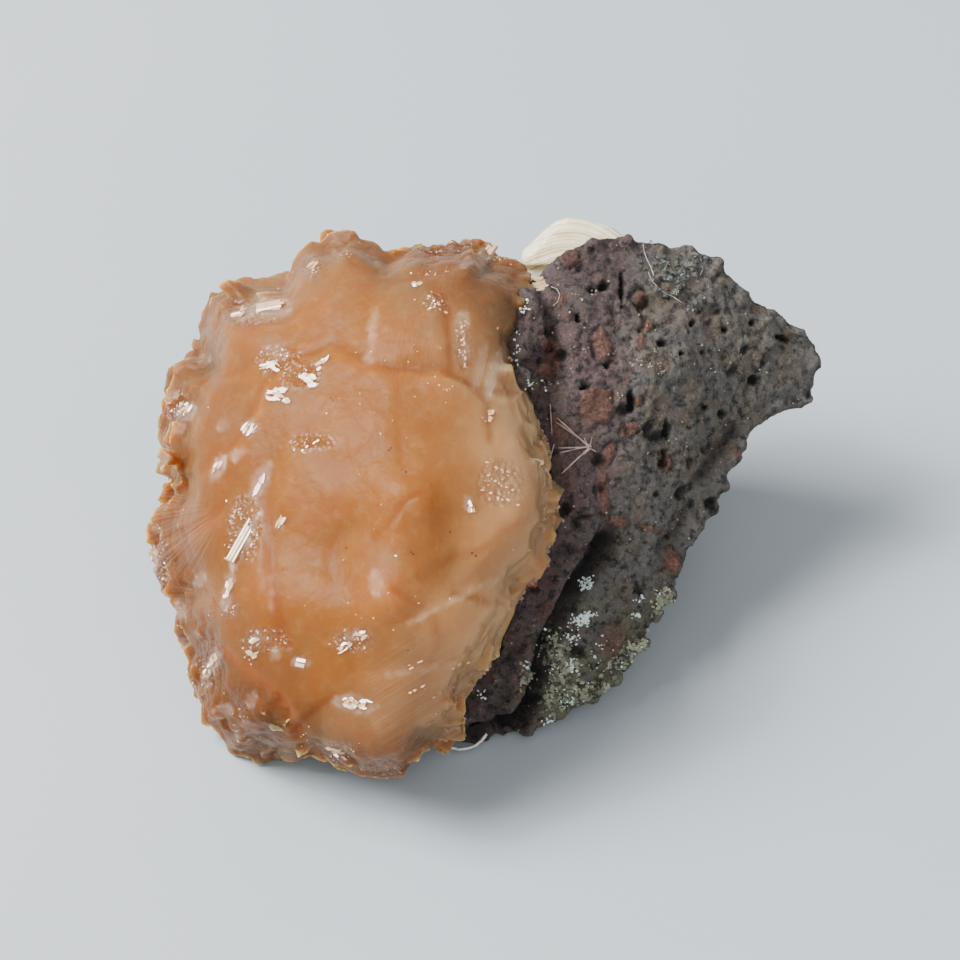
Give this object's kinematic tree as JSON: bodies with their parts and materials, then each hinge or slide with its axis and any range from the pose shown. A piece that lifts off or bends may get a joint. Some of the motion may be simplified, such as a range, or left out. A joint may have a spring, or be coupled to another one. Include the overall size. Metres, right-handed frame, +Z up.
{
  "type": "orange crystal cluster on basalt matrix",
  "caption": "Hand specimen of minerals: a rounded cluster of waxy orange crystal sheaves grown on dark vesicular basalt, lying leaned back on a table.",
  "frame": {"origin": "middle of the footprint's box, on the table", "axes": "+X to the right of the display face, from the orange cluster to the rock's tip; +Z up; the display face looks to -Y and up"},
  "size_m": [0.0998, 0.0824, 0.0563],
  "materials": {
    "basalt": "matte broken vesicular lava, dark grey with brick red amygdales",
    "orange_crystal": "waxy, translucent peach orange crystal with small glints",
    "cream_crystal": "pearly cream, layered",
    "clear_crystal": "clear, glossy",
    "green_druse": "sparkling grey green crust",
    "pink_needle": "silky pinkish white needles",
    "white_crust": "matte white crust"
  },
  "bodies": {
    "root": {"basalt_matrix": "basalt", "orange_crystals": "orange_crystal", "pale_crystal_sheaf": "cream_crystal", "glassy_crystals": "clear_crystal", "green_druse": "green_druse", "needle_spray": "pink_needle", "white_rim": "white_crust"}
  },
  "joints": []
}
